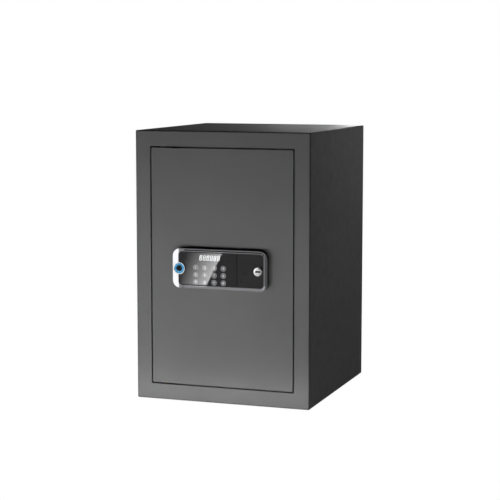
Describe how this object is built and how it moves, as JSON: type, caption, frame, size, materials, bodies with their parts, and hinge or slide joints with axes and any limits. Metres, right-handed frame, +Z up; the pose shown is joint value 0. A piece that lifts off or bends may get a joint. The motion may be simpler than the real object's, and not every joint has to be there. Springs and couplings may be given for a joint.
{
  "type": "in room safe",
  "caption": "Upright steel safe with an inset door, live bolts, a black touch lock panel with display, fingerprint sensor and emergency key, and a carpeted shelf.",
  "frame": {"origin": "centre of the bounding box's base, on the surface that the safe stands on", "axes": "+Z up, the door faces -Y, the door's hinge is on the -X side"},
  "size_m": [0.35, 0.388, 0.52],
  "materials": {
    "body_paint": "satin graphite powder coat with a fine orange peel",
    "inner_paint": "satin powder coat",
    "chrome": "polished, slightly dark",
    "lock_chrome": "polished",
    "panel_glass": "black glass, very glossy",
    "panel_gloss": "gloss black",
    "black_plastic": "fine moulded texture",
    "sensor_black": "satin black window",
    "blue_light": "blue translucent light guide",
    "clear_plastic": "clear light guide",
    "steel": "bright zinc plate",
    "zinc_screws": "zinc plated",
    "brass": "plain machined",
    "gearbox_casting": "die cast",
    "circuit_board": "green solder mask",
    "board_parts": "moulded",
    "carpet": "needle felt carpet",
    "felt": "black felt strip",
    "red_plastic": "gloss red",
    "battery_skin": "printed sleeve",
    "contact_metal": "nickel plated",
    "lead_cover": "PVC cover"
  },
  "bodies": {
    "cabinet": {"cabinet_wrap": "body_paint", "front_frame": "body_paint", "rear_panel": "body_paint", "hinge_plates": "body_paint", "thrust_washer": "brass", "door_stops": "felt", "strike_channel": "body_paint", "shelf_brackets": "body_paint", "floor_carpet": "carpet"},
    "door": {"barrel_nut": "steel", "battery_cells": "battery_skin", "battery_contacts": "contact_metal", "battery_lead": "lead_cover", "battery_tray": "black_plastic", "board_components": "board_parts", "board_screws": "zinc_screws", "board_standoffs": "steel", "bolt_guides": "steel", "carriage_spacers": "steel", "control_board": "circuit_board", "cover_screws": "zinc_screws", "display_module": "black_plastic", "door_casing": "inner_paint", "door_plate": "body_paint", "drive_motor": "steel", "fascia_end_plate": "panel_gloss", "fingerprint_sensor": "sensor_black", "gearbox_screws": "zinc_screws", "hinge_blocks": "steel", "hinge_pins": "steel", "hinge_side_dead_bar": "steel", "inner_cover": "inner_paint", "key_light_guides": "clear_plastic", "limit_switches": "black_plastic", "lock_barrel": "lock_chrome", "motor_lead": "lead_cover", "panel_bezel": "chrome", "panel_cable": "lead_cover", "panel_housing": "black_plastic", "panel_screws": "zinc_screws", "reset_switch": "black_plastic", "sensor_bezel": "chrome", "sensor_light_ring": "blue_light", "shoulder_screws": "zinc_screws", "touch_board": "circuit_board", "touch_glass": "panel_glass", "worm_gearbox": "gearbox_casting"},
    "bolts": {"bolt_carriage": "steel", "live_bolts": "steel", "bolt_screws": "zinc_screws", "bolt_rack": "steel"},
    "pinion": {"drive_pinion": "brass", "output_shaft": "steel"},
    "key_cylinder": {"key_plug": "lock_chrome", "key_cam": "steel", "cam_screw": "zinc_screws"},
    "reset_cap": {"reset_button": "red_plastic"},
    "battery_cover": {"battery_lid": "black_plastic"},
    "lift_out_shelf": {"shelf": "body_paint", "shelf_carpet": "carpet"}
  },
  "joints": [
    {"name": "door_swing", "type": "hinge", "parent": "cabinet", "child": "door", "pos_m": [-0.1185, -0.166, 0.26], "axis": [0, 0, -1], "range_deg": [0, 100]},
    {"name": "bolt_slide", "type": "slide", "parent": "door", "child": "bolts", "axis": [1, 0, 0], "range_m": [0, 0.022]},
    {"name": "pinion_spin", "type": "hinge", "parent": "door", "child": "pinion", "pos_m": [0.045, -0.151, 0.216], "axis": [0, 1, 0], "range_deg": [0, 141]},
    {"name": "key_turn", "type": "hinge", "parent": "door", "child": "key_cylinder", "pos_m": [0.0786, -0.176, 0.26], "axis": [0, 1, 0], "range_deg": [0, 90]},
    {"name": "reset_press", "type": "slide", "parent": "door", "child": "reset_cap", "axis": [0, -1, 0], "range_m": [0, 0.002], "stiffness_N_per_m": 300},
    {"name": "battery_lid_slide", "type": "slide", "parent": "door", "child": "battery_cover", "axis": [0, 0, -1], "range_m": [0, 0.065]},
    {"name": "shelf_lift", "type": "slide", "parent": "cabinet", "child": "lift_out_shelf", "axis": [0, 0, 1], "range_m": [0, 0.06]}
  ],
  "couplings": [
    {"joint": "pinion_spin", "follows": "bolt_slide", "rad_per_m": 111.11}
  ]
}
